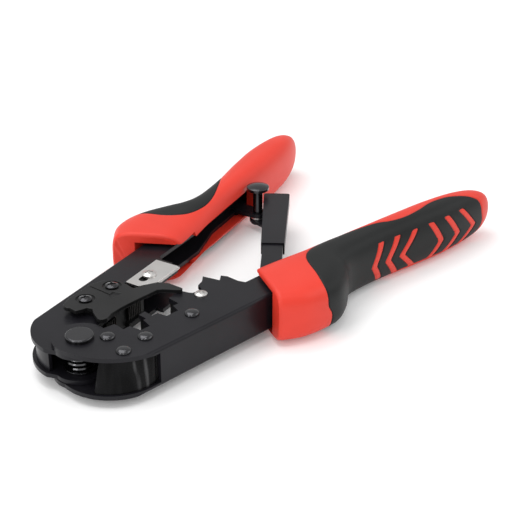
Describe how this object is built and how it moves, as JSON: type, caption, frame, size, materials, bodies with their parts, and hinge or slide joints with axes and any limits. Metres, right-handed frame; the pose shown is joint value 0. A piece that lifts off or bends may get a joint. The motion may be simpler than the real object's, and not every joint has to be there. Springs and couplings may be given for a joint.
{
  "type": "rj45 crimping tool",
  "caption": "Ratchet crimping tool for network and telephone plugs, with open plug nests, a cutter blade and two soft-grip handles joined by a toothed link.",
  "frame": {"origin": "on the pivot's axis, at the flat underside of its lower head", "axes": "+X along the fixed handle from the pivot to the grip's end, +Y towards the moving handle, +Z along the pivot, up through the face with the guard"},
  "size_m": [0.2014, 0.1142, 0.0222],
  "materials": {
    "frame_steel": "blackened pressed sheet steel, satin",
    "black_block": "black, semi-gloss",
    "dark_steel": "dark polished steel",
    "bright_steel": "ground bright steel",
    "red_plastic": "red hard plastic, satin",
    "soft_grip": "dark grey soft overmould, fine matt grain"
  },
  "bodies": {
    "fixed_side": {"fixed_frame": "frame_steel", "head_block": "black_block", "die_block": "black_block", "frame_rivets": "dark_steel", "anvil_plate": "bright_steel", "anvil_screw": "bright_steel", "pivot_pin": "dark_steel", "pivot_bush": "dark_steel", "anchor_pin": "dark_steel", "near_grip_shell": "red_plastic", "near_grip_overmould": "soft_grip", "near_grip_chevrons": "red_plastic"},
    "jaw": {"moving_frame": "frame_steel", "nose_wall": "frame_steel", "pivot_washer": "dark_steel", "return_spring": "dark_steel", "punch_guard": "black_block", "punch_block": "black_block", "guard_screws": "dark_steel", "crimp_blades_8p": "bright_steel", "crimp_blades_6p": "bright_steel", "strain_bar_8p": "bright_steel", "strain_bar_6p": "bright_steel", "blade_spacer": "black_block", "cutter_blade": "bright_steel", "blade_screw": "bright_steel", "blade_nut": "bright_steel", "far_grip_shell": "red_plastic", "far_grip_overmould": "soft_grip", "far_grip_chevrons": "red_plastic", "link_pin": "dark_steel", "link_collar": "bright_steel", "link_clip": "dark_steel"},
    "sleeve": {"link_sleeve": "frame_steel", "pawl_pin": "dark_steel", "pawl_spring": "bright_steel"},
    "pawl": {"pawl": "dark_steel"},
    "bar": {"link_bar": "frame_steel"}
  },
  "joints": [
    {"name": "jaw_pivot", "type": "hinge", "parent": "fixed_side", "child": "jaw", "pos_m": [0, 0, 0.0088], "axis": [0, 0, 1], "range_deg": [-14, 0], "stiffness_Nm_per_rad": 0.8, "springref_deg": 17.19},
    {"name": "sleeve_pivot", "type": "hinge", "parent": "jaw", "child": "sleeve", "pos_m": [0.12441, 0.04116, 0.0023], "axis": [0, 0, 1], "range_deg": [-12, 0]},
    {"name": "bar_slide", "type": "slide", "parent": "sleeve", "child": "bar", "axis": [0.7373, 0.6756, 0], "range_m": [0, 0.0138]},
    {"name": "pawl_pivot", "type": "hinge", "parent": "sleeve", "child": "pawl", "pos_m": [0.11918, 0.02903, 0.0111], "axis": [0, 0, 1], "range_deg": [-4, 0], "stiffness_Nm_per_rad": 0.01, "springref_deg": 5.73}
  ],
  "couplings": [
    {"joint": "sleeve_pivot", "follows": "jaw_pivot", "ratio": 0.8476},
    {"joint": "bar_slide", "follows": "jaw_pivot", "m_per_rad": -0.056094}
  ]
}
